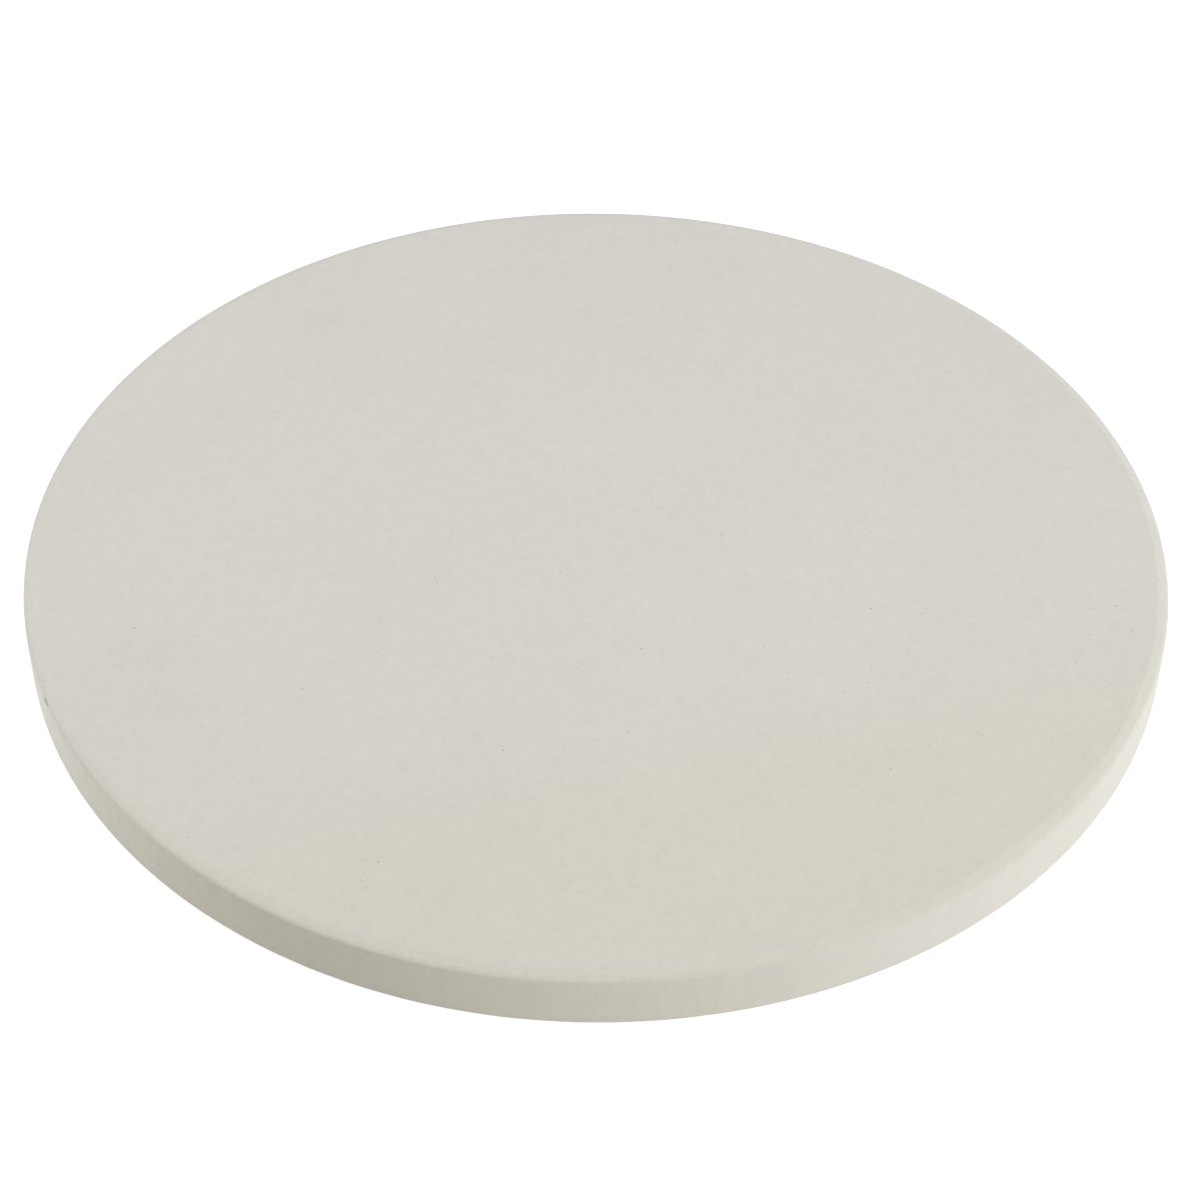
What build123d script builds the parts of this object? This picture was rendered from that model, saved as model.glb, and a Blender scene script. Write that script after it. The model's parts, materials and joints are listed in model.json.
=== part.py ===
from build123d import *
import os
from math import atan2, cos, degrees, hypot, radians, tan

# Round baking stone: one solid disc of pressed and fired cordierite.
# Millimetres, +Z up. The origin is the centre of the underside, which the stone rests on.

# Driving dimensions
disc_diameter = 380.0
disc_thickness = 20.0

# The wall leans in from foot to rim by this many degrees, so that the disc leaves its mould
wall_draft_angle = 1.0

# Rounded corner at the top of the wall, and broken edge at its foot
rim_radius = 1.7
foot_radius = 1.0

# Shallow bevel between the wall and the flat baking face. Its upper end curves into that face,
# over this share of the slope that the rim's rounding leaves.
bevel_width = 3.85
bevel_drop = 1.1
bevel_blend_share = 0.18

# The profile's corners, before they are rounded. The disc is widest on the foot's rounding,
# so the sharp foot corner lies outside the disc by what the rounding takes away.
draft = radians(wall_draft_angle)
foot_place = disc_diameter / 2 + foot_radius * (tan(draft) + 1 / cos(draft) - 1)
rim_height = disc_thickness - bevel_drop
rim_place = foot_place - rim_height * tan(draft)
face_place = rim_place - bevel_width

# The blend's radius follows from how far it reaches down the bevel
bevel_angle = degrees(atan2(bevel_drop, bevel_width))
rim_turn = 90 - wall_draft_angle - bevel_angle
rim_reach = rim_radius * tan(radians(rim_turn / 2))
blend_reach = bevel_blend_share * (hypot(bevel_width, bevel_drop) - rim_reach)
blend_radius = blend_reach / tan(radians(bevel_angle / 2))

with BuildPart() as baking_stone:
    with BuildSketch(Plane.XZ) as profile:
        with BuildLine():
            Polyline(
                (0, 0),
                (foot_place, 0),
                (rim_place, rim_height),
                (face_place, disc_thickness),
                (0, disc_thickness),
                close=True,
            )
        make_face()
        outer_corners = profile.vertices().filter_by(lambda corner: corner.X > 0).sort_by(Axis.Y)
        foot_corner, rim_corner, face_corner = outer_corners
        fillet(foot_corner, radius=foot_radius)
        fillet(rim_corner, radius=rim_radius)
        fillet(face_corner, radius=blend_radius)
    revolve(axis=Axis.Z)

baking_stone.part.label = "baking_stone"

os.makedirs("parts", exist_ok=True)
export_step(baking_stone.part, "parts/baking_stone.step")
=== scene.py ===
import json
from math import cos, pi, radians, sin, tan
from typing import NamedTuple

import bpy
from bpy.props import FloatProperty, FloatVectorProperty, IntProperty, PointerProperty
from mathutils import Euler, Matrix, Vector


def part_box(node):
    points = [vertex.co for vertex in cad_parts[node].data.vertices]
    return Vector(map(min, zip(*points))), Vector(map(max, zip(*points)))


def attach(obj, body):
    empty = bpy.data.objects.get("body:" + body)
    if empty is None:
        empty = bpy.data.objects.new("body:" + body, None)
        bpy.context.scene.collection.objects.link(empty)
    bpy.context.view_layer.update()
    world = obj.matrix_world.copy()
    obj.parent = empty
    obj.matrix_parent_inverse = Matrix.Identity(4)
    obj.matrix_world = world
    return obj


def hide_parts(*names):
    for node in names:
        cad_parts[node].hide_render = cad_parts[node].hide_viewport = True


bl_info = {
    "name": "Baking Stone",
    "version": (1, 0, 0),
    "blender": (4, 5, 0),
    "location": "3D View > Sidebar > Baking Stone",
    "description": "Shapes a fired baking stone on its packed frame and lights it on a pale floor",
    "category": "Object",
}

MM = 0.001

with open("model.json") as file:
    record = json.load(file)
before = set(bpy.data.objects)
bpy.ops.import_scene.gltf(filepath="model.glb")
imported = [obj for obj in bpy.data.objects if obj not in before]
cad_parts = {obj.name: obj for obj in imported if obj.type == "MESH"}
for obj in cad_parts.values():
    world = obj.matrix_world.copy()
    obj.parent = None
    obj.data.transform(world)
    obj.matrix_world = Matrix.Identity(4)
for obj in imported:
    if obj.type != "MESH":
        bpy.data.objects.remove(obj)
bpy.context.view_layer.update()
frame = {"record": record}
STONE_NODE = "baking_stone"
STONE_SLOT = frame["record"]["subparts"][0]["material_slot"]
stone_low, stone_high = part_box(STONE_NODE)


# Settings that a user would change

class StoneSizes(bpy.types.PropertyGroup):
    """The pressed form of the stone and the mesh that it gets."""

    diameter: FloatProperty(
        name="Diameter",
        description="Width across the foot, the widest place",
        default=stone_high.x - stone_low.x,
        unit="LENGTH",
    )
    thickness: FloatProperty(
        name="Thickness",
        description="Height of the flat baking face",
        default=stone_high.z - stone_low.z,
        unit="LENGTH",
    )
    wall_lean: FloatProperty(
        name="Wall Lean",
        description="How far the wall leans in, so that the stone leaves its mould",
        default=radians(1.0),
        subtype="ANGLE",
    )
    foot_radius: FloatProperty(
        name="Foot Radius",
        description="Rounding where the wall meets the underside",
        default=1.0 * MM,
        unit="LENGTH",
    )
    rim_radius: FloatProperty(
        name="Rim Radius",
        description="Rounding where the wall meets the bevel",
        default=1.7 * MM,
        unit="LENGTH",
    )
    bevel_width: FloatProperty(
        name="Bevel Width",
        description="Width of the shallow bevel round the baking face",
        default=3.85 * MM,
        unit="LENGTH",
    )
    bevel_drop: FloatProperty(
        name="Bevel Drop",
        description="How far the bevel falls from the baking face to the rim",
        default=1.1 * MM,
        unit="LENGTH",
    )
    bevel_blend: FloatProperty(
        name="Bevel Blend",
        description="Share of the bevel that eases into the baking face",
        default=0.18,
        subtype="FACTOR",
    )
    flat_margin: FloatProperty(
        name="Flat Margin",
        description="Ring of flat face that is swept together with the edge",
        default=2.0 * MM,
        unit="LENGTH",
    )
    row_height: FloatProperty(
        name="Row Height",
        description="Least spacing of the mesh rows along the straight stretches of the edge",
        default=2.0 * MM,
        unit="LENGTH",
    )
    quads_across: IntProperty(
        name="Quads Across",
        description="Even number of faces across the baking face",
        default=112,
    )


class StoneWear(bpy.types.PropertyGroup):
    """What pressing, firing and handling did to the form."""

    face_wave: FloatProperty(
        name="Face Wave",
        description="Deepest soft hollow that firing left in the faces",
        default=0.07 * MM,
        unit="LENGTH",
    )
    edge_wear: FloatProperty(
        name="Edge Wear",
        description="Most that the rim and the foot are rubbed down",
        default=0.2 * MM,
        unit="LENGTH",
    )
    pit_gap: FloatProperty(
        name="Pit Gap",
        description="Least distance between two pinholes",
        default=3.0 * MM,
        unit="LENGTH",
    )
    pits_per_area: FloatProperty(
        name="Pits per Area",
        description="Pinholes to a square metre, before the gap thins them",
        default=6500.0,
    )
    pit_smallest: FloatProperty(
        name="Smallest Pit",
        description="Radius of the smallest pinhole",
        default=0.09 * MM,
        unit="LENGTH",
    )
    pit_largest: FloatProperty(
        name="Largest Pit",
        description="Radius of the largest pinhole",
        default=0.36 * MM,
        unit="LENGTH",
    )
    chips_per_area: FloatProperty(
        name="Chips per Area",
        description="Crumbs lost to a square metre of rim and foot",
        default=15000.0,
    )
    chip_largest: FloatProperty(
        name="Largest Chip",
        description="Half length of the largest crumb lost from an edge",
        default=0.7 * MM,
        unit="LENGTH",
    )
    nick_turn: FloatProperty(
        name="Nick Turn",
        description="Where on the rim the one longer nick is, turned from +X",
        default=radians(-154.6),
        subtype="ANGLE",
    )
    nick_length: FloatProperty(
        name="Nick Length",
        description="Length of the one longer nick in the rim",
        default=4.4 * MM,
        unit="LENGTH",
    )
    nick_width: FloatProperty(
        name="Nick Width",
        description="Width of the one longer nick in the rim",
        default=0.8 * MM,
        unit="LENGTH",
    )
    seed: IntProperty(
        name="Seed",
        description="Start of every random choice",
        default=7,
    )


class ClayColours(bpy.types.PropertyGroup):
    """Colours of the fired clay."""

    body: FloatVectorProperty(
        name="Body",
        description="Pale warm grey of the fired clay",
        default=(0.674, 0.656, 0.610),
        subtype="COLOR",
    )
    # The clay turns yellower towards the near side
    warm_side: FloatVectorProperty(
        name="Warm Side",
        description="Colour that the clay takes towards the near side",
        default=(0.667, 0.652, 0.579),
        subtype="COLOR",
    )
    # The wall's colour outside the painted shade of the near-left edge
    pale_wall: FloatVectorProperty(
        name="Pale Wall",
        description="Colour of the wall outside the painted shade at the near left",
        default=(0.680, 0.665, 0.615),
        subtype="COLOR",
    )
    # Painted shade: a darker, browner colour for the wall and the bevel at the near left, where
    # they lie in shade
    browned_edge: FloatVectorProperty(
        name="Painted Shade Edge",
        description="Painted shade: darker, browner colour of the wall and the bevel at the near left",
        default=(0.661, 0.638, 0.565),
        subtype="COLOR",
    )
    pale_grain: FloatVectorProperty(
        name="Pale Grain",
        description="Specks of paler crushed clay",
        default=(0.76, 0.75, 0.71),
        subtype="COLOR",
    )
    dark_grain: FloatVectorProperty(
        name="Dark Grain",
        description="Specks of darker crushed clay",
        default=(0.50, 0.48, 0.43),
        subtype="COLOR",
    )


class StudioSettings(bpy.types.PropertyGroup):
    """Floor and lamps."""

    floor_size: FloatProperty(
        name="Floor Size",
        description="Side of the square floor",
        default=12.0,
        unit="LENGTH",
    )
    floor_bounce: FloatVectorProperty(
        name="Floor Bounce",
        description="Colour that the floor throws back on the stone",
        default=(0.60, 0.58, 0.54),
        subtype="COLOR",
    )
    floor_shade: FloatProperty(
        name="Floor Shade",
        description="How much of the floor's seen brightness follows the light on it",
        default=0.60,
        subtype="FACTOR",
    )
    floor_glow: FloatProperty(
        name="Floor Glow",
        description="Part of the floor's seen brightness that no shadow takes away",
        default=0.70,
        subtype="FACTOR",
    )
    sky_strength: FloatProperty(
        name="Sky Strength",
        description="Even light from all round",
        default=0.509,
    )
    overhead_power: FloatProperty(
        name="Overhead Power",
        description="Watts of the soft box above the stone",
        default=0.569,
    )
    right_power: FloatProperty(
        name="Right Power",
        description="Watts of the soft box in front on the right",
        default=23.2,
    )
    left_power: FloatProperty(
        name="Left Power",
        description="Watts of the low, near soft box on the left",
        default=2.88,
    )


# Node trees

def find_socket(sockets, key):
    """The socket with this identifier, because several sockets of a node can share a name."""
    return next(socket for socket in sockets if socket.identifier == key)


class Wire:
    """A node's output, which sums can use like a number: each sum adds its Math node."""

    def __init__(self, board, socket):
        self.board = board
        self.socket = socket

    def beside(self, key):
        """Another output of the same node."""
        return Wire(self.board, find_socket(self.socket.node.outputs, key))

    def __add__(self, other):
        return self.board.math("ADD", self, other)

    def __radd__(self, other):
        return self.board.math("ADD", other, self)

    def __sub__(self, other):
        return self.board.math("SUBTRACT", self, other)

    def __rsub__(self, other):
        return self.board.math("SUBTRACT", other, self)

    def __mul__(self, other):
        return self.board.math("MULTIPLY", self, other)

    def __rmul__(self, other):
        return self.board.math("MULTIPLY", other, self)

    def __truediv__(self, other):
        return self.board.math("DIVIDE", self, other)

    def __rtruediv__(self, other):
        return self.board.math("DIVIDE", other, self)

    def __pow__(self, other):
        return self.board.math("POWER", self, other)


class Board:
    """A node tree with the one method that adds any node to it."""

    def __init__(self, tree):
        self.tree = tree

    def node(self, kind, settings=None, values=None, output=None):
        """Adds a node, sets its options first and its sockets next, and returns one output."""
        made = self.tree.nodes.new(kind)
        for name, value in (settings or {}).items():
            if name == "items":
                # An Index Switch starts with two items, and gets the others one by one
                while len(made.index_switch_items) < value:
                    made.index_switch_items.new()
            else:
                setattr(made, name, value)
        for key, value in (values or {}).items():
            socket = find_socket(made.inputs, key)
            wires = value if isinstance(value, list) else [value]
            if isinstance(wires[0], Wire):
                for wire in wires:
                    self.tree.links.new(wire.socket, socket)
            else:
                socket.default_value = value
        if not made.outputs:
            return made
        return Wire(self, find_socket(made.outputs, output) if output else made.outputs[0])

    def math(self, operation, *numbers):
        """A Math node on one to three numbers or wires."""
        keys = ("Value", "Value_001", "Value_002")
        return self.node("ShaderNodeMath", {"operation": operation}, dict(zip(keys, numbers)))

    def vector(self, operation, *vectors, output="Vector", **values):
        """A Vector Math node on one or two vectors, with its Scale as a keyword."""
        keys = ("Vector", "Vector_001")
        values.update(zip(keys, vectors))
        return self.node("ShaderNodeVectorMath", {"operation": operation}, values, output)

    def point(self, x=0.0, y=0.0, z=0.0):
        """A vector from its coordinates."""
        return self.node("ShaderNodeCombineXYZ", None, {"X": x, "Y": y, "Z": z})

    def part(self, vector, axis):
        """One coordinate of a vector."""
        return self.node("ShaderNodeSeparateXYZ", None, {"Vector": vector}, axis)

    def ramp(self, value, low, high, out_low=0.0, out_high=1.0):
        """Eases value from the range low to high into the range out_low to out_high, clamped."""
        values = {
            "Value": value,
            "From Min": low,
            "From Max": high,
            "To Min": out_low,
            "To Max": out_high,
        }
        settings = {"interpolation_type": "SMOOTHSTEP"}
        return self.node("ShaderNodeMapRange", settings, values, "Result")

    def mix(self, factor, first, second):
        """Goes from the first colour to the second as factor goes from 0 to 1."""
        values = {"Factor_Float": factor, "A_Color": first, "B_Color": second}
        return self.node("ShaderNodeMix", {"data_type": "RGBA"}, values, "Result_Color")

    def noise(self, place, period, detail=2.0, shift=0.0):
        """Noise from 0 to 1 about 0.5, with lumps of about this period in the units of place."""
        moved = self.vector("ADD", place, (shift, shift, shift))
        values = {"Vector": moved, "Scale": 1 / period, "Detail": detail}
        return self.node("ShaderNodeTexNoise", None, values, "Fac")

    def choose(self, kind, index, options):
        """The option whose place in the list is the index."""
        values = {f"Item_{place}": option for place, option in enumerate(options)}
        settings = {"data_type": kind, "items": len(options)}
        return self.node("GeometryNodeIndexSwitch", settings, {"Index": index, **values})


def empty_board(owner):
    """The cleared node tree of a material or a world."""
    owner.use_nodes = True
    owner.node_tree.nodes.clear()
    return Board(owner.node_tree)


def own_settings(group):
    """A property group's own settings, without those that every group has."""
    shared = ("rna_type", "name")
    return [setting for setting in group.bl_rna.properties if setting.identifier not in shared]


def new_form_tree(name, groups):
    """A geometry tree with an input for each setting of the groups, and one for the finish."""
    tree = bpy.data.node_groups.new(name, "GeometryNodeTree")
    tree.is_modifier = True
    tree.interface.new_socket("Geometry", in_out="OUTPUT", socket_type="NodeSocketGeometry")
    tree.interface.new_socket("Geometry", in_out="INPUT", socket_type="NodeSocketGeometry")
    kinds = {"FLOAT": "NodeSocketFloat", "INT": "NodeSocketInt"}
    labels = {}
    for group in groups:
        for setting in own_settings(group):
            kind = kinds[setting.type]
            made = tree.interface.new_socket(setting.name, in_out="INPUT", socket_type=kind)
            made.default_value = getattr(group, setting.identifier)
            labels[setting.name] = setting.identifier
    tree.interface.new_socket("Finish", in_out="INPUT", socket_type="NodeSocketMaterial")
    labels["Finish"] = "finish"
    board = Board(tree)
    entry = tree.nodes.new("NodeGroupInput")
    wires = {}
    for socket in entry.outputs:
        if socket.name in labels:
            wires[labels[socket.name]] = Wire(board, socket)
    return board, wires


def end_form_tree(board, shape):
    """Makes the shape the tree's result."""
    leave = board.tree.nodes.new("NodeGroupOutput")
    board.tree.links.new(shape.socket, leave.inputs[0])


def grow_mesh(name, tree, groups, finish):
    """Runs a geometry tree on these settings and keeps its result as a plain mesh object."""
    piece = bpy.data.objects.new(name, bpy.data.meshes.new(name))
    bpy.context.scene.collection.objects.link(piece)
    modifier = piece.modifiers.new(name, "NODES")
    modifier.node_group = tree
    values = {"Finish": finish}
    for group in groups:
        for setting in own_settings(group):
            values[setting.name] = getattr(group, setting.identifier)
    for socket in tree.interface.items_tree:
        if socket.in_out == "INPUT" and socket.name in values:
            modifier[socket.identifier] = values[socket.name]
    shown = piece.evaluated_get(bpy.context.evaluated_depsgraph_get())
    mesh = bpy.data.meshes.new_from_object(shown)
    piece.modifiers.remove(modifier)
    mesh.name = name
    piece.data = mesh
    return piece


# Form of the stone

ARC_STEPS = 10
JOIN_REACH = 0.01 * MM
CUT_JOIN_REACH = 0.002 * MM
SHARP_FROM = radians(25)

# A point of a closed skin has at least this many neighbours, and the tip of a fold has fewer
FEWEST_NEIGHBOURS = 3

# Even where nothing has worn it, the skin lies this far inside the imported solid
SKIN_INSET = 0.005 * MM
EDGE_WEAR_REACH = 3.0 * MM
EDGE_WEAR_PERIOD = 7.0 * MM
FACE_WAVE_PERIOD = 45.0 * MM

# Share of the pinholes that the wall gets, and the upward part of the normal on wall and face
WALL_PIT_SHARE = 0.45
NORMAL_ON_WALL = 0.3
NORMAL_ON_FACE = 0.9

# Lumps that cut the holes: their roughness, how oval and flat they are, and how few are large
LUMP_PERIOD = 0.9
LUMP_NOISE = (0.3, 0.7)
LUMP_SWELL = (0.75, 1.25)
OVAL_SLIMMEST = 0.7
OVAL_LONGEST = 1.3
FEW_LARGE_POWER = 4.0
PIT_FLATNESS = 0.6
CHIP_FLATNESS = 0.4
CHIP_SEED_STEP = 10
MARK_SLIMMEST = (0.9, 0.8, 1.0)
MARK_FULLEST = (1.2, 1.0, 1.4)

# How far the nick's middle lies inside and below the rim's corner
NICK_INSET = 0.3 * MM
NICK_DROP = 0.5 * MM


def edge_corners(board, size):
    """The corners of the edge's section as radius and height, and how far each is rounded."""
    lean = board.math("TANGENT", size["wall_lean"])
    overhang = lean + 1 / board.math("COSINE", size["wall_lean"]) - 1
    foot = size["diameter"] / 2 + size["foot_radius"] * overhang
    top = size["thickness"]
    rim_height = top - size["bevel_drop"]
    rim = foot - rim_height * lean
    face = rim - size["bevel_width"]
    bevel_angle = board.math("ARCTAN2", size["bevel_drop"], size["bevel_width"])
    rim_turn = pi / 2 - size["wall_lean"] - bevel_angle
    rim_reach = size["rim_radius"] * board.math("TANGENT", rim_turn / 2)
    slope = board.math("SQRT", size["bevel_width"] ** 2 + size["bevel_drop"] ** 2)
    blend_reach = size["bevel_blend"] * (slope - rim_reach)
    blend_radius = blend_reach / board.math("TANGENT", bevel_angle / 2)
    flat = face - blend_reach - size["flat_margin"]
    corners = [(flat, 0.0), (foot, 0.0), (rim, rim_height), (face, top), (flat, top)]
    roundings = [0.0, size["foot_radius"], size["rim_radius"], blend_radius, 0.0]
    return corners, roundings


def edge_band(board, size, corners, roundings):
    """The edge of the stone from the underside round to the baking face, swept round the flat."""
    flat = corners[0][0]
    line = board.node("GeometryNodeMeshLine", None, {"Count": len(corners)})
    section = board.node("GeometryNodeMeshToCurve", None, {"Mesh": line})
    index = board.node("GeometryNodeInputIndex")
    places = [board.point(radius - flat, 0.0 - height) for radius, height in corners]
    section = board.node(
        "GeometryNodeSetPosition",
        None,
        {"Geometry": section, "Position": board.choose("VECTOR", index, places)},
    )
    section = board.node(
        "GeometryNodeFilletCurve",
        {"mode": "POLY"},
        {"Curve": section, "Count": ARC_STEPS, "Radius": board.choose("FLOAT", index, roundings)},
    )
    here = board.node("GeometryNodeInputPosition")
    ahead = board.node(
        "GeometryNodeFieldAtIndex",
        {"domain": "POINT", "data_type": "FLOAT_VECTOR"},
        {"Value": here, "Index": index + 1},
    )
    run = board.vector("DISTANCE", here, ahead, output="Value")
    cuts = board.math("FLOOR", run / size["row_height"])
    section = board.node("GeometryNodeSubdivideCurve", None, {"Curve": section, "Cuts": cuts})
    # The round patches have this many places on each of the four sides of their grid
    ring = board.node(
        "GeometryNodeCurvePrimitiveCircle",
        {"mode": "RADIUS"},
        {"Resolution": size["quads_across"] * 4, "Radius": flat},
    )
    band = board.node("GeometryNodeCurveToMesh", None, {"Curve": ring, "Profile Curve": section})
    return board.node("GeometryNodeFlipFaces", None, {"Mesh": band})


def round_patch(board, size, radius, height):
    """A flat disc of four-sided faces: a grid whose square rings are pulled round, with no pole."""
    count = size["quads_across"] + 1
    grid = board.node(
        "GeometryNodeMeshGrid",
        None,
        {"Size X": 2.0, "Size Y": 2.0, "Vertices X": count, "Vertices Y": count},
    )
    here = board.node("GeometryNodeInputPosition")
    x = board.part(here, "X")
    y = board.part(here, "Y")
    ring = board.math("MAXIMUM", board.math("ABSOLUTE", x), board.math("ABSOLUTE", y))
    outwards = board.point(board.math("TANGENT", x * (pi / 4)), board.math("TANGENT", y * (pi / 4)))
    place = board.vector("SCALE", board.vector("NORMALIZE", outwards), Scale=ring * radius)
    place = board.vector("ADD", place, board.point(z=height))
    return board.node("GeometryNodeSetPosition", None, {"Geometry": grid, "Position": place})


def from_axis(board, here):
    """Distance from the stone's axis."""
    return board.vector("LENGTH", board.vector("MULTIPLY", here, (1.0, 1.0, 0.0)), output="Value")


def section_gap(board, here, corner):
    """Distance from a corner of the edge's section, the same all round the stone."""
    section = board.point(from_axis(board, here), 0.0, board.part(here, "Z"))
    return board.vector("DISTANCE", section, corner, output="Value")


def corner_nearness(board, corner):
    """1 on a corner of the edge's section, easing to 0 where its wear ends."""
    here = board.node("GeometryNodeInputPosition")
    return board.ramp(section_gap(board, here, corner), EDGE_WEAR_REACH, 0.0)


def worn_skin(board, size, shape, foot, rim):
    """Moves the skin inwards only: soft waves everywhere, and rubbed edges."""
    here = board.node("GeometryNodeInputPosition")
    rubbed = corner_nearness(board, foot) + corner_nearness(board, rim)
    waves = size["face_wave"] * board.noise(here, FACE_WAVE_PERIOD, detail=1.0)
    rubs = size["edge_wear"] * rubbed * board.noise(here, EDGE_WEAR_PERIOD, detail=3.0)
    normal = board.node("GeometryNodeInputNormal")
    inwards = board.vector("SCALE", normal, Scale=-SKIN_INSET - waves - rubs)
    return board.node("GeometryNodeSetPosition", None, {"Geometry": shape, "Offset": inwards})


def lump(board, segments, rings):
    """A rough ball one unit in radius, which cuts one hole."""
    ball = board.node(
        "GeometryNodeMeshUVSphere",
        None,
        {"Segments": segments, "Rings": rings, "Radius": 1.0},
    )
    here = board.node("GeometryNodeInputPosition")
    swell = board.ramp(board.noise(here, LUMP_PERIOD), *LUMP_NOISE, *LUMP_SWELL)
    rough = board.vector("SCALE", here, Scale=swell)
    return board.node("GeometryNodeSetPosition", None, {"Geometry": ball, "Position": rough})


def random_number(board, low, high, seed):
    """A number for each point, anywhere from low to high."""
    values = {"Min_001": low, "Max_001": high, "Seed": seed}
    return board.node("FunctionNodeRandomValue", {"data_type": "FLOAT"}, values, "Value_001")


def random_vector(board, low, high, seed):
    """A vector for each point, with each coordinate anywhere from low to high."""
    values = {"Min": low, "Max": high, "Seed": seed}
    return board.node("FunctionNodeRandomValue", {"data_type": "FLOAT_VECTOR"}, values, "Value")


def scattered_lumps(board, skin, spacing, density, share, smallest, largest, flatness, seed):
    """Lumps scattered over the skin, mostly small, each with its own oval shape and turn."""
    points = board.node(
        "GeometryNodeDistributePointsOnFaces",
        {"distribute_method": "POISSON"},
        {
            "Mesh": skin,
            "Distance Min": spacing,
            "Density Max": density,
            "Density Factor": share,
            "Seed": seed,
        },
        "Points",
    )
    few_large = random_number(board, 0.0, 1.0, seed + 1) ** FEW_LARGE_POWER
    radius = smallest + (largest - smallest) * few_large
    slimmest = (OVAL_SLIMMEST, OVAL_SLIMMEST, flatness)
    fullest = (OVAL_LONGEST, 1.0, 1.0)
    oval = board.vector("SCALE", random_vector(board, slimmest, fullest, seed + 2), Scale=radius)
    spin = board.point(z=random_number(board, 0.0, 2 * pi, seed + 3))
    turn = board.node(
        "FunctionNodeRotateRotation",
        {"rotation_space": "LOCAL"},
        {"Rotation": points.beside("Rotation"), "Rotate By": spin},
    )
    ball = lump(board, segments=8, rings=5)
    return board.node(
        "GeometryNodeInstanceOnPoints",
        None,
        {"Points": points, "Instance": ball, "Rotation": turn, "Scale": oval},
    )


# Pinholes that stand out, as places across the baking face from its centre, and their radii
MARKED_PITS = (
    (14.5 * MM, -56.5 * MM, 0.33 * MM),
    (29 * MM, 19 * MM, 0.34 * MM),
    (-148 * MM, -49 * MM, 0.36 * MM),
    (169 * MM, -35 * MM, 0.34 * MM),
    (89 * MM, -37 * MM, 0.32 * MM),
    (119 * MM, -94 * MM, 0.32 * MM),
    (-92 * MM, -76 * MM, 0.32 * MM),
    (-63 * MM, -147 * MM, 0.32 * MM),
    (-12 * MM, -21 * MM, 0.3 * MM),
    (10 * MM, -94 * MM, 0.3 * MM),
)


def marked_lumps(board, size):
    """Lumps for the pinholes that stand out on the baking face."""
    line = board.node("GeometryNodeMeshLine", None, {"Count": len(MARKED_PITS)})
    index = board.node("GeometryNodeInputIndex")
    places = [board.point(x, y, size["thickness"]) for x, y, radius in MARKED_PITS]
    points = board.node(
        "GeometryNodeSetPosition",
        None,
        {"Geometry": line, "Position": board.choose("VECTOR", index, places)},
    )
    radius = board.choose("FLOAT", index, [radius for x, y, radius in MARKED_PITS])
    oval = random_vector(board, MARK_SLIMMEST, MARK_FULLEST, size["seed"])
    oval = board.vector("SCALE", oval, Scale=radius)
    spin = random_vector(board, (0.0, 0.0, 0.0), (0.0, 0.0, 2 * pi), size["seed"])
    ball = lump(board, segments=16, rings=9)
    return board.node(
        "GeometryNodeInstanceOnPoints",
        None,
        {"Points": points, "Instance": ball, "Rotation": spin, "Scale": oval},
    )


def nick_lump(board, size, rim):
    """The lump of the one longer nick, lying along the rim."""
    turn = size["nick_turn"]
    out = board.part(rim, "X") - NICK_INSET
    height = board.part(rim, "Z") - NICK_DROP
    place = board.point(out * board.math("COSINE", turn), out * board.math("SINE", turn), height)
    half_length = size["nick_length"] / 2
    half_width = size["nick_width"] / 2
    values = {
        "Geometry": lump(board, segments=24, rings=12),
        "Translation": place,
        "Rotation": board.point(z=turn + pi / 2),
        "Scale": board.point(half_length, half_width, half_width),
    }
    return board.node("GeometryNodeTransform", None, values)


def weld(board, shape, reach):
    """Makes one point of those that lie within this reach of each other."""
    return board.node("GeometryNodeMergeByDistance", None, {"Geometry": shape, "Distance": reach})


def cut_out(board, shape, groups):
    """The shape without the places that these groups of lumps fill."""
    lumps = []
    for group in groups:
        lumps.append(board.node("GeometryNodeRealizeInstances", None, {"Geometry": group}))
    return board.node(
        "GeometryNodeMeshBoolean",
        {"operation": "DIFFERENCE", "solver": "MANIFOLD"},
        {"Mesh 1": shape, "Mesh 2": lumps},
    )


def tidy_cuts(board, shape):
    """Well-shaped triangles, without the folds of no area that the cutting leaves beside holes."""
    shape = board.node(
        "GeometryNodeTriangulate",
        {"quad_method": "BEAUTY", "ngon_method": "BEAUTY"},
        {"Mesh": weld(board, shape, CUT_JOIN_REACH)},
    )
    neighbours = board.node("GeometryNodeInputMeshVertexNeighbors", None, None, "Vertex Count")
    folded = board.node(
        "FunctionNodeCompare",
        {"operation": "LESS_THAN", "data_type": "INT"},
        {"A_INT": neighbours, "B_INT": FEWEST_NEIGHBOURS},
    )
    return board.node(
        "GeometryNodeDeleteGeometry",
        {"domain": "POINT"},
        {"Geometry": shape, "Selection": folded},
    )


def shade(board, shape):
    """Smooth shading everywhere but on the sharp edges of pinholes, chips and the nick."""
    shape = board.node(
        "GeometryNodeSetShadeSmooth",
        {"domain": "FACE"},
        {"Geometry": shape, "Shade Smooth": True},
    )
    angle = board.node("GeometryNodeInputMeshEdgeAngle", None, None, "Unsigned Angle")
    sharp = board.node(
        "FunctionNodeCompare",
        {"operation": "GREATER_THAN", "data_type": "FLOAT"},
        {"A": angle, "B": SHARP_FROM},
    )
    return board.node(
        "GeometryNodeSetShadeSmooth",
        {"domain": "EDGE"},
        {"Geometry": shape, "Selection": sharp, "Shade Smooth": False},
    )


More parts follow.
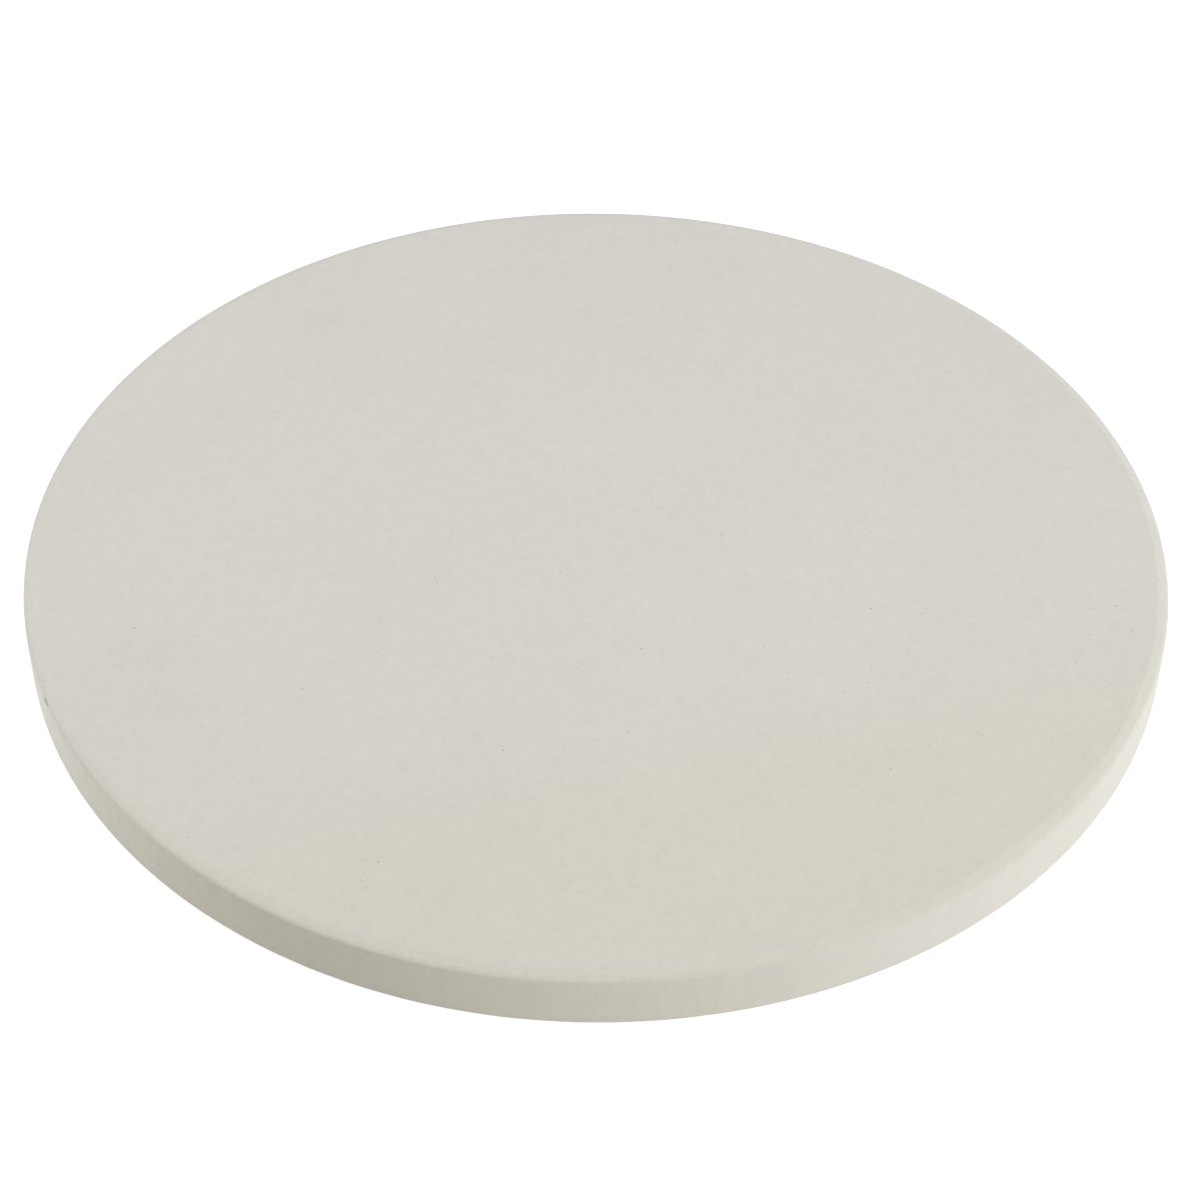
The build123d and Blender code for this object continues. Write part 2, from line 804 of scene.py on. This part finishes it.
def stone_tree(groups):
    """The whole stone: pressed form, wear, then pinholes and chips cut out of it."""
    board, size = new_form_tree("Fired Stone", groups)
    corners, roundings = edge_corners(board, size)
    flat = corners[0][0]
    foot, rim = [board.point(radius, 0.0, height) for radius, height in corners[1:3]]
    edge = edge_band(board, size, corners, roundings)
    face = round_patch(board, size, flat, size["thickness"])
    underside = round_patch(board, size, flat, 0.0)
    underside = board.node("GeometryNodeFlipFaces", None, {"Mesh": underside})
    shape = board.node("GeometryNodeJoinGeometry", None, {"Geometry": [edge, face, underside]})
    shape = worn_skin(board, size, weld(board, shape, JOIN_REACH), foot, rim)

    facing = board.part(board.node("GeometryNodeInputNormal"), "Z")
    fewer_on_wall = board.ramp(facing, NORMAL_ON_WALL, NORMAL_ON_FACE, WALL_PIT_SHARE, 1.0)
    pits = scattered_lumps(
        board,
        shape,
        spacing=size["pit_gap"],
        density=size["pits_per_area"],
        share=fewer_on_wall,
        smallest=size["pit_smallest"],
        largest=size["pit_largest"],
        flatness=PIT_FLATNESS,
        seed=size["seed"],
    )
    chips = scattered_lumps(
        board,
        shape,
        spacing=size["pit_gap"],
        density=size["chips_per_area"],
        share=corner_nearness(board, foot) + corner_nearness(board, rim),
        smallest=size["pit_smallest"],
        largest=size["chip_largest"],
        flatness=CHIP_FLATNESS,
        seed=size["seed"] + CHIP_SEED_STEP,
    )
    marks = [marked_lumps(board, size), nick_lump(board, size, rim)]
    for lumps in (marks, [pits], [chips]):
        shape = cut_out(board, shape, lumps)
    shape = shade(board, tidy_cuts(board, shape))
    shape = board.node("GeometryNodeRealizeInstances", None, {"Geometry": shape})
    values = {"Geometry": shape, "Material": size["finish"]}
    end_form_tree(board, board.node("GeometryNodeSetMaterial", None, values))
    return board.tree


# Finish of the fired clay, in millimetres across the surface

class Layer(NamedTuple):
    """Noise in the clay: the width of its lumps, its detail, its shift and its strength."""

    period: float
    detail: float
    shift: float
    strength: float


class Specks(NamedTuple):
    """Crushed grains of one kind: their cells, the largest radius, how many and how strong."""

    spacing: float
    radius: float
    share: float
    shift: float
    strength: float


class Stain(NamedTuple):
    """A soft oval smudge on the faces: its middle and how far it reaches."""

    x: float
    y: float
    reach_x: float
    reach_y: float


# Noise lies evenly about this value
MIDDLE = 0.5

CLOUDS = Layer(period=55.0, detail=2.0, shift=0.0, strength=0.04)
MOTTLE = Layer(period=4.0, detail=3.0, shift=31.0, strength=0.083)
SAND = Layer(period=0.9, detail=2.0, shift=57.0, strength=0.08)
STREAKS = Layer(period=4.0, detail=2.0, shift=83.0, strength=0.055)
RIM_MARKS = Layer(period=1.3, detail=2.0, shift=71.0, strength=0.05)
FINE_RELIEF = Layer(period=0.6, detail=2.0, shift=57.0, strength=1.0)
COARSE_RELIEF = Layer(period=2.5, detail=3.0, shift=5.0, strength=1.5)
RAGGED_STAIN = Layer(period=9.0, detail=3.0, shift=0.0, strength=1.0)

FLECKS = Specks(spacing=2.6, radius=0.8, share=0.6, shift=41.0, strength=0.16)
PALE_SPECKS = Specks(spacing=3.0, radius=0.42, share=0.6, shift=11.0, strength=0.7)
DARK_SPECKS = Specks(spacing=2.2, radius=0.3, share=0.7, shift=23.0, strength=0.6)
SPECK_CORE = 0.4

STAINS = (
    Stain(x=-138.0, y=-60.0, reach_x=24.0, reach_y=9.0),
    Stain(x=-135.0, y=-84.0, reach_x=14.0, reach_y=8.0),
    Stain(x=-98.0, y=116.0, reach_x=16.0, reach_y=9.0),
)
STAIN_STRENGTH = 0.012
STAIN_OUTSIDE = 1.2
STAIN_INSIDE = 0.3

# The wall starts and is whole where the skin is this upright. Its streaks change only this
# share as fast up the wall as round it.
WALL_STARTS = 0.5
WALL_WHOLE = 0.9
STREAK_STRETCH = 0.08

# Darkening of the rim's rounding: an even painted shade, noise from which its darker dust marks
# show, and its reach
# Painted shade: this first value darkens the whole rim's rounding evenly
RIM_EVEN_SHADE = 0.012
MARKS_SHOW = (0.55, 0.75)
RIM_DARKENING_REACH = 2.0
RIM_DARKENING_WHOLE = 0.5

# Directions in which the colour changes, and where across the stone each change starts and ends.
# The painted shade of the near-left edge starts at the bevel's inner edge, over the width of the
# easing.
WARM_TURN = radians(-75)
WARM_SPAN = (45.0, 155.0)
# Painted shade: the edge turns darker and browner towards the near left, where it lies in shade
PAINTED_SHADE_TURN = radians(-109)
PAINTED_SHADE_SPAN = (130.0, 182.0)
PAINTED_SHADE_EASING = 1.5

ROUGHNESS = 0.88
ROUGHNESS_SWING = 0.1
RELIEF_DEPTH = 0.03 * MM


def opaque(colour):
    """The colour as a colour socket takes it."""
    return (*colour, 1.0)


def layer_noise(board, here, layer):
    """The layer's noise, from 0 to 1."""
    return board.noise(here, layer.period, layer.detail, layer.shift)


def stain(board, here, smudge):
    """1 inside a smudge, fading to 0 round its ragged border."""
    offset = board.vector("SUBTRACT", here, (smudge.x, smudge.y, 0.0))
    offset = board.vector("MULTIPLY", offset, (1 / smudge.reach_x, 1 / smudge.reach_y, 0.0))
    distance = board.vector("LENGTH", offset, output="Value")
    ragged = distance + layer_noise(board, here, RAGGED_STAIN) - MIDDLE
    return board.ramp(ragged, STAIN_OUTSIDE, STAIN_INSIDE)


def specks(board, here, kind):
    """The kind's strength on small round specks, one in some of the cells that divide the clay."""
    moved = board.vector("ADD", here, (kind.shift,) * 3)
    values = {"Vector": moved, "Scale": 1 / kind.spacing}
    cells = board.node("ShaderNodeTexVoronoi", None, values, "Distance")
    chance = board.part(cells.beside("Color"), "X")
    radius = kind.radius / kind.spacing * board.ramp(chance, kind.share, 0.0)
    return board.ramp(cells, radius, radius * SPECK_CORE) * kind.strength


def towards(board, here, turn, start, end):
    """Goes from 0 to 1 across the stone, from start to end in the direction of this turn."""
    along = board.vector("DOT_PRODUCT", here, (cos(turn), sin(turn), 0.0), output="Value")
    return board.ramp(along, start, end)


def rim_corner(size):
    """Radius and height of the corner between the wall and the bevel, in millimetres."""
    height = (size.thickness - size.bevel_drop) / MM
    return size.diameter / 2 / MM - height * tan(size.wall_lean), height


def rim_marks_and_shade(board, here, size):
    """Darkening along the rim's rounding: an even painted shade, and dust marks."""
    radius, height = rim_corner(size)
    gap = section_gap(board, here, (radius, 0.0, height))
    marks = board.ramp(layer_noise(board, here, RIM_MARKS), *MARKS_SHOW)
    # Painted shade: an even darkening all along the rim's rounding, under its dust marks
    return (marks * RIM_MARKS.strength + RIM_EVEN_SHADE) * board.ramp(gap, RIM_DARKENING_REACH, RIM_DARKENING_WHOLE)


def clay_tone(board, here, size, on_wall, mottle):
    """How bright the clay is from place to place, about 1."""
    clouds = layer_noise(board, here, CLOUDS) - MIDDLE
    sand = layer_noise(board, here, SAND) - MIDDLE
    drawn = board.vector("MULTIPLY", here, (1.0, 1.0, STREAK_STRETCH))
    streaks = (layer_noise(board, drawn, STREAKS) - MIDDLE) * on_wall
    tone = 1 + clouds * CLOUDS.strength + mottle * MOTTLE.strength + sand * SAND.strength
    # The rim's rounding gets its dust marks and an even painted shade
    tone = tone + streaks * STREAKS.strength - rim_marks_and_shade(board, here, size)
    for smudge in STAINS:
        tone = tone - stain(board, here, smudge) * STAIN_STRENGTH
    return tone


def clay_body(board, here, colours, size, on_wall):
    """The clay's colour: warmer on one side, with darker, browner painted shade on the near-left
    stretch of the edge.
    """
    face_edge = rim_corner(size)[0] - size.bevel_width / MM
    on_edge = board.ramp(from_axis(board, here), face_edge, face_edge + PAINTED_SHADE_EASING)
    # Painted shade on the near-left stretch of the edge, where the wall and the bevel lie in shade
    painted_shade_share = towards(board, here, PAINTED_SHADE_TURN, *PAINTED_SHADE_SPAN) * on_edge
    warmth = towards(board, here, WARM_TURN, *WARM_SPAN)
    body = board.mix(warmth, opaque(colours.body), opaque(colours.warm_side))
    body = board.mix(on_wall, body, opaque(colours.pale_wall))
    return board.mix(painted_shade_share, body, opaque(colours.browned_edge))


def fired_clay(colours, size):
    """Unglazed cordierite: pale, chalky, faintly clouded and speckled with crushed grains."""
    finish = bpy.data.materials.new(STONE_SLOT)
    board = empty_board(finish)
    place = board.node("ShaderNodeTexCoord", None, None, "Object")
    here = board.vector("SCALE", place, Scale=1 / MM)
    normal = board.node("ShaderNodeNewGeometry", None, None, "Normal")
    upright = 1 - board.math("ABSOLUTE", board.part(normal, "Z"))
    on_wall = board.ramp(upright, WALL_STARTS, WALL_WHOLE)
    mottle = layer_noise(board, here, MOTTLE) - MIDDLE

    colour = clay_body(board, here, colours, size, on_wall)
    tone = clay_tone(board, here, size, on_wall, mottle)
    colour = board.vector("SCALE", colour, Scale=tone)
    colour = board.mix(specks(board, here, FLECKS), colour, opaque(colours.dark_grain))
    colour = board.mix(specks(board, here, PALE_SPECKS), colour, opaque(colours.pale_grain))
    colour = board.mix(specks(board, here, DARK_SPECKS), colour, opaque(colours.dark_grain))

    coarse = layer_noise(board, here, COARSE_RELIEF) * COARSE_RELIEF.strength
    height = layer_noise(board, here, FINE_RELIEF) + coarse
    values = {"Strength": 0.6, "Distance": RELIEF_DEPTH, "Height": height}
    values = {
        "Base Color": colour,
        "Roughness": ROUGHNESS + mottle * ROUGHNESS_SWING,
        "Diffuse Roughness": 0.6,
        "Specular IOR Level": 0.3,
        "Normal": board.node("ShaderNodeBump", None, values, "Normal"),
    }
    surface = board.node("ShaderNodeBsdfPrincipled", None, values, "BSDF")
    board.node("ShaderNodeOutputMaterial", None, {"Surface": surface})
    return finish


# Studio

FRONT = radians(-90)
CAMERA_PLACE = Vector((0.0, -625.3 * MM, 570.1 * MM))
CAMERA_DOWN = radians(42.94)
CAMERA_RIGHT = radians(0.12)
CAMERA_ROLL = radians(0.54)
CAMERA_LENS = 74.52
CAMERA_SENSOR = 36.0
AIM = Vector((0.0, 0.0, 10.0 * MM))
WHITE = (1.0, 1.0, 1.0, 1.0)


def seen_or_lit(board, light, seen):
    """One look for what the camera sees, straight or in a reflection, and one for the light."""
    rays = board.node("ShaderNodeLightPath", None, None, "Is Camera Ray")
    reflected = rays.beside("Is Glossy Ray") + rays.beside("Is Transmission Ray")
    directly = board.math("MINIMUM", rays + reflected, 1.0)
    values = {"Fac": directly, "Shader": light, "Shader_001": seen}
    return board.node("ShaderNodeMixShader", None, values)


def studio_floor(studio):
    """A wide floor that the camera sees nearly white, and that throws plain light back."""
    half = studio.floor_size / 2
    corners = [(-half, -half, 0.0), (half, -half, 0.0), (half, half, 0.0), (-half, half, 0.0)]
    mesh = bpy.data.meshes.new("studio_floor")
    mesh.from_pydata(corners, [], [(0, 1, 2, 3)])
    floor = bpy.data.objects.new("studio_floor", mesh)
    bpy.context.scene.collection.objects.link(floor)
    paint = bpy.data.materials.new("studio_floor")
    board = empty_board(paint)
    seen = board.node("ShaderNodeBsdfDiffuse", None, {"Color": opaque((studio.floor_shade,) * 3)})
    glow = board.node("ShaderNodeEmission", None, {"Strength": studio.floor_glow})
    seen = board.node("ShaderNodeAddShader", None, {"Shader": seen, "Shader_001": glow})
    bounce = board.node("ShaderNodeBsdfDiffuse", None, {"Color": opaque(studio.floor_bounce)})
    look = seen_or_lit(board, bounce, seen)
    board.node("ShaderNodeOutputMaterial", None, {"Surface": look})
    floor.data.materials.append(paint)


def studio_sky(studio):
    """Weak even light from all round, seen as plain white."""
    world = bpy.data.worlds.new("studio_sky")
    board = empty_board(world)
    values = {"Color": WHITE, "Strength": studio.sky_strength}
    light = board.node("ShaderNodeBackground", None, values)
    white = board.node("ShaderNodeBackground", None, {"Color": WHITE, "Strength": 1.0})
    look = seen_or_lit(board, light, white)
    board.node("ShaderNodeOutputWorld", None, {"Surface": look})
    bpy.context.scene.world = world


def soft_box(name, watts, turn, height, distance, width, tall):
    """A soft oval lamp that faces the stone from this turn and height above the floor."""
    lamp = bpy.data.lights.new(name, "AREA")
    lamp.shape = "ELLIPSE"
    lamp.size = width
    lamp.size_y = tall
    lamp.energy = watts
    box = bpy.data.objects.new(name, lamp)
    reach = distance * cos(height)
    box.location = AIM + Vector((reach * cos(turn), reach * sin(turn), distance * sin(height)))
    box.rotation_euler = (AIM - box.location).to_track_quat("-Z", "Y").to_euler()
    box.visible_camera = False
    bpy.context.scene.collection.objects.link(box)


def studio_camera():
    """The photograph's view."""
    lens = bpy.data.cameras.new("studio_camera")
    lens.lens = CAMERA_LENS
    lens.sensor_width = CAMERA_SENSOR
    camera = bpy.data.objects.new("studio_camera", lens)
    aim = Euler((pi / 2 - CAMERA_DOWN, 0.0, -CAMERA_RIGHT)).to_matrix()
    aim = aim @ Matrix.Rotation(CAMERA_ROLL, 3, "Z")
    camera.location = CAMERA_PLACE
    camera.rotation_euler = aim.to_euler()
    bpy.context.scene.collection.objects.link(camera)
    bpy.context.scene.camera = camera


# Operators

class STONE_OT_press_and_fire(bpy.types.Operator):
    """Make the fired stone, with its pinholes and its finish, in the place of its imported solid"""

    bl_idname = "stone.press_and_fire"
    bl_label = "Press and Fire"

    def execute(self, context):
        scene = context.scene
        groups = (scene.stone_sizes, scene.stone_wear)
        clay = fired_clay(scene.clay_colours, scene.stone_sizes)
        stone = grow_mesh("fired_stone", stone_tree(groups), groups, clay)
        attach(stone, "root")
        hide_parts(STONE_NODE)
        return {"FINISHED"}


class STONE_OT_set_studio(bpy.types.Operator):
    """Lay the pale floor, hang the soft lamps and place the camera"""

    bl_idname = "stone.set_studio"
    bl_label = "Set Studio"

    def execute(self, context):
        studio = context.scene.studio_settings
        studio_floor(studio)
        studio_sky(studio)
        soft_box(
            "overhead_box",
            studio.overhead_power,
            turn=FRONT,
            height=radians(80),
            distance=0.62,
            width=0.3,
            tall=0.3,
        )
        soft_box(
            "right_box",
            studio.right_power,
            turn=radians(-31),
            height=radians(28),
            distance=2.0,
            width=0.7,
            tall=0.7,
        )
        soft_box(
            "left_box",
            studio.left_power,
            turn=radians(180),
            height=radians(8),
            distance=0.8,
            width=0.6,
            tall=0.2,
        )
        studio_camera()
        context.scene.view_settings.view_transform = "Standard"
        return {"FINISHED"}


# Sidebar

SETTING_GROUPS = {
    "stone_sizes": StoneSizes,
    "stone_wear": StoneWear,
    "clay_colours": ClayColours,
    "studio_settings": StudioSettings,
}
OPERATORS = (STONE_OT_press_and_fire, STONE_OT_set_studio)


class STONE_PT_sidebar(bpy.types.Panel):
    """Settings and steps of the baking stone"""

    bl_label = "Baking Stone"
    bl_idname = "STONE_PT_sidebar"
    bl_space_type = "VIEW_3D"
    bl_region_type = "UI"
    bl_category = "Baking Stone"

    def draw(self, context):
        for label in SETTING_GROUPS:
            group = getattr(context.scene, label)
            box = self.layout.box()
            for setting in own_settings(group):
                box.prop(group, setting.identifier)
        for operator in OPERATORS:
            self.layout.operator(operator.bl_idname)


def register():
    for label, group in SETTING_GROUPS.items():
        bpy.utils.register_class(group)
        setattr(bpy.types.Scene, label, PointerProperty(type=group))
    for made in (*OPERATORS, STONE_PT_sidebar):
        bpy.utils.register_class(made)


def unregister():
    for made in (STONE_PT_sidebar, *reversed(OPERATORS)):
        bpy.utils.unregister_class(made)
    for label, group in SETTING_GROUPS.items():
        delattr(bpy.types.Scene, label)
        bpy.utils.unregister_class(group)


def main():
    register()
    bpy.ops.stone.press_and_fire()
    bpy.ops.stone.set_studio()


if __name__ == "__main__":
    main()
